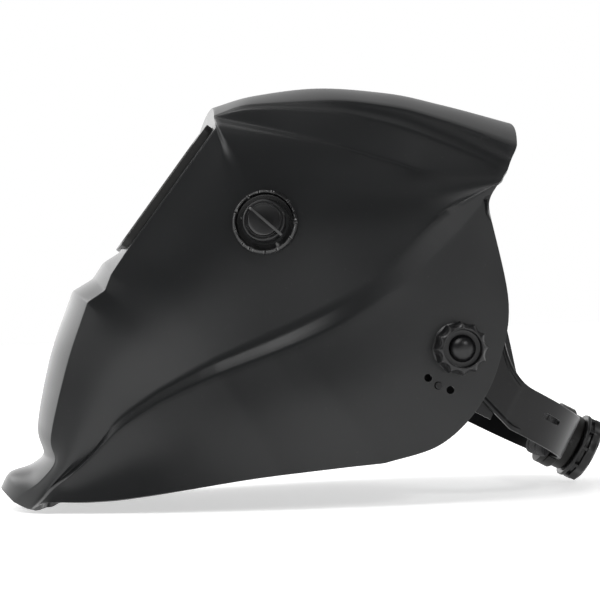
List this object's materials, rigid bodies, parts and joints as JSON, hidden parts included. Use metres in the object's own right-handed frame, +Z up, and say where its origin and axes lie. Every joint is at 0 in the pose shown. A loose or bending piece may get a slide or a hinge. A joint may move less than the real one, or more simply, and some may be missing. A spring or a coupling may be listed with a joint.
{
  "type": "welding helmet",
  "caption": "Auto-darkening welding helmet: moulded black shell with a tilted lens window, side shade knob and a ratchet headgear it flips up on.",
  "frame": {"origin": "middle of the footprint, on the surface the helmet is set down on", "axes": "+Z up as it stands on its chin lip and ratchet knob; the window faces -Y; +X is to the wearer's left, the side with the shade knob"},
  "size_m": [0.2458, 0.374, 0.2488],
  "materials": {
    "band_black": "satin",
    "board": "printed circuit",
    "brass": "turned",
    "cover_lens": "clear polycarbonate",
    "filter_glass": "mirror-coated green",
    "housing_black": "matt",
    "knob_black": "satin moulded",
    "lcd": "laminated liquid crystal",
    "rubber": "matt",
    "sensor": "dark red dome",
    "shell_black": "satin",
    "solar": "solar cell",
    "steel": "zinc plated",
    "sweatband": "soft foam with cloth face"
  },
  "bodies": {
    "shell": {"helmet_shell": "shell_black", "front_lens_frame": "housing_black", "front_cover_lens": "cover_lens", "cartridge_holder": "housing_black", "cartridge_front_housing": "housing_black", "uv_ir_filter_glass": "filter_glass", "lcd_shutter": "lcd", "solar_panel": "solar", "arc_sensor_left": "sensor", "arc_sensor_right": "sensor", "circuit_board": "board", "coin_battery": "steel", "cartridge_rear_cover": "housing_black", "inner_cover_lens": "cover_lens", "shade_knob_bezel": "knob_black", "shade_potentiometer": "steel", "potentiometer_nut": "brass", "tilt_limit_plate_left": "band_black", "tilt_limit_plate_right": "band_black"},
    "latch": {"holder_latch": "knob_black"},
    "battery_door": {"battery_door": "knob_black"},
    "sensitivity_dial": {"sensitivity_dial": "knob_black"},
    "delay_dial": {"delay_dial": "knob_black"},
    "shade_knob": {"shade_knob": "knob_black"},
    "headgear": {"front_headband": "band_black", "sweatband": "sweatband", "pivot_bolt_left": "steel", "pivot_bolt_right": "steel", "friction_washer_left": "rubber", "friction_washer_right": "rubber"},
    "tension_knob_left": {"tension_knob_left": "knob_black", "knob_nut_left": "brass"},
    "tension_knob_right": {"tension_knob_right": "knob_black", "knob_nut_right": "brass"},
    "crown_strap": {"crown_strap_left": "band_black", "crown_strap_right": "band_black", "crown_strap_peg": "knob_black"},
    "rear_band": {"rear_strap_left": "band_black", "rear_strap_right": "band_black", "ratchet_housing": "housing_black", "ratchet_cover": "housing_black", "rear_pad": "sweatband", "strap_rivet_left_lower": "knob_black", "strap_rivet_left_upper": "knob_black", "strap_rivet_right_lower": "knob_black", "strap_rivet_right_upper": "knob_black"},
    "ratchet_knob": {"ratchet_knob": "knob_black", "ratchet_pinion": "band_black"}
  },
  "joints": [
    {"name": "shell_flip", "type": "hinge", "parent": "shell", "child": "headgear", "pos_m": [0, 0.07802, 0.0888], "axis": [1, 0, 0], "range_deg": [-10, 75]},
    {"name": "tension_knob_left_turn", "type": "hinge", "parent": "headgear", "child": "tension_knob_left", "pos_m": [0.1058, 0.07802, 0.0888], "axis": [1, 0, 0], "range_deg": [0, 540]},
    {"name": "tension_knob_right_turn", "type": "hinge", "parent": "headgear", "child": "tension_knob_right", "pos_m": [-0.1058, 0.07802, 0.0888], "axis": [-1, 0, 0], "range_deg": [0, 540]},
    {"name": "crown_height", "type": "slide", "parent": "headgear", "child": "crown_strap", "axis": [0, -0.1736, 0.9848], "range_m": [-0.012, 0.008]},
    {"name": "rear_band_slide", "type": "slide", "parent": "headgear", "child": "rear_band", "axis": [0, 0.8746, -0.4848], "range_m": [-0.006, 0.006]},
    {"name": "ratchet_turn", "type": "hinge", "parent": "rear_band", "child": "ratchet_knob", "pos_m": [0, 0.15626, 0.02963], "axis": [0, 0.8746, -0.4848], "range_deg": [-70, 70]},
    {"name": "shade_turn", "type": "hinge", "parent": "shell", "child": "shade_knob", "pos_m": [0.0856, -0.02798, 0.1648], "axis": [0.9621, -0.205, 0.18], "range_deg": [-135, 135]},
    {"name": "sensitivity_turn", "type": "hinge", "parent": "shell", "child": "sensitivity_dial", "pos_m": [-0.038, -0.05112, 0.2021], "axis": [0, 0.7912, -0.6115], "range_deg": [-135, 135]},
    {"name": "delay_turn", "type": "hinge", "parent": "shell", "child": "delay_dial", "pos_m": [-0.014, -0.05112, 0.2021], "axis": [0, 0.7912, -0.6115], "range_deg": [-135, 135]},
    {"name": "latch_slide", "type": "slide", "parent": "shell", "child": "latch", "axis": [0, -0.6115, -0.7912], "range_m": [0, 0.006]},
    {"name": "battery_door_slide", "type": "slide", "parent": "shell", "child": "battery_door", "axis": [-1, 0, 0], "range_m": [0, 0.026]}
  ],
  "couplings": [
    {"joint": "ratchet_turn", "follows": "rear_band_slide", "rad_per_m": 200}
  ]
}
